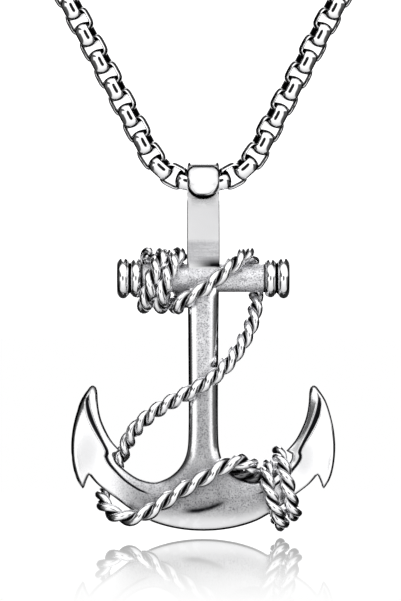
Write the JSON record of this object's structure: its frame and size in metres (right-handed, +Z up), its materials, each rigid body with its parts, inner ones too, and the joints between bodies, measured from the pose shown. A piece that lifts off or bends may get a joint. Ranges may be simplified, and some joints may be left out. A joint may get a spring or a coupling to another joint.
{
  "type": "anchor pendant necklace",
  "caption": "Closed box-link chain necklace with a lobster clasp and a cast anchor pendant wound with two-strand rope, hanging from a round bail that swings.",
  "frame": {"origin": "where the inner side of the closed loop rests on the nape, in front of the clasp", "axes": "+Z up, -Y the way the wearer faces, +X to the right as seen from in front; the pendant hangs down in front"},
  "size_m": [0.1368, 0.1352, 0.2433],
  "materials": {
    "chain_steel": "polished",
    "anchor_steel": "polished flukes, rings and bail; blasted grey shank, stock and crown with dark recesses",
    "rope_steel": "polished strands with blackened grooves"
  },
  "bodies": {
    "chain": {"chain_front": "chain_steel", "chain_back": "chain_steel", "clasp": "chain_steel", "ring_left": "chain_steel", "ring_right": "chain_steel"},
    "pendant": {"anchor": "anchor_steel", "rope": "rope_steel"}
  },
  "joints": [
    {"name": "pendant_swing", "type": "hinge", "parent": "chain", "child": "pendant", "pos_m": [0, -0.126, -0.2], "axis": [1, 0, 0], "range_deg": [-75, 75]}
  ]
}
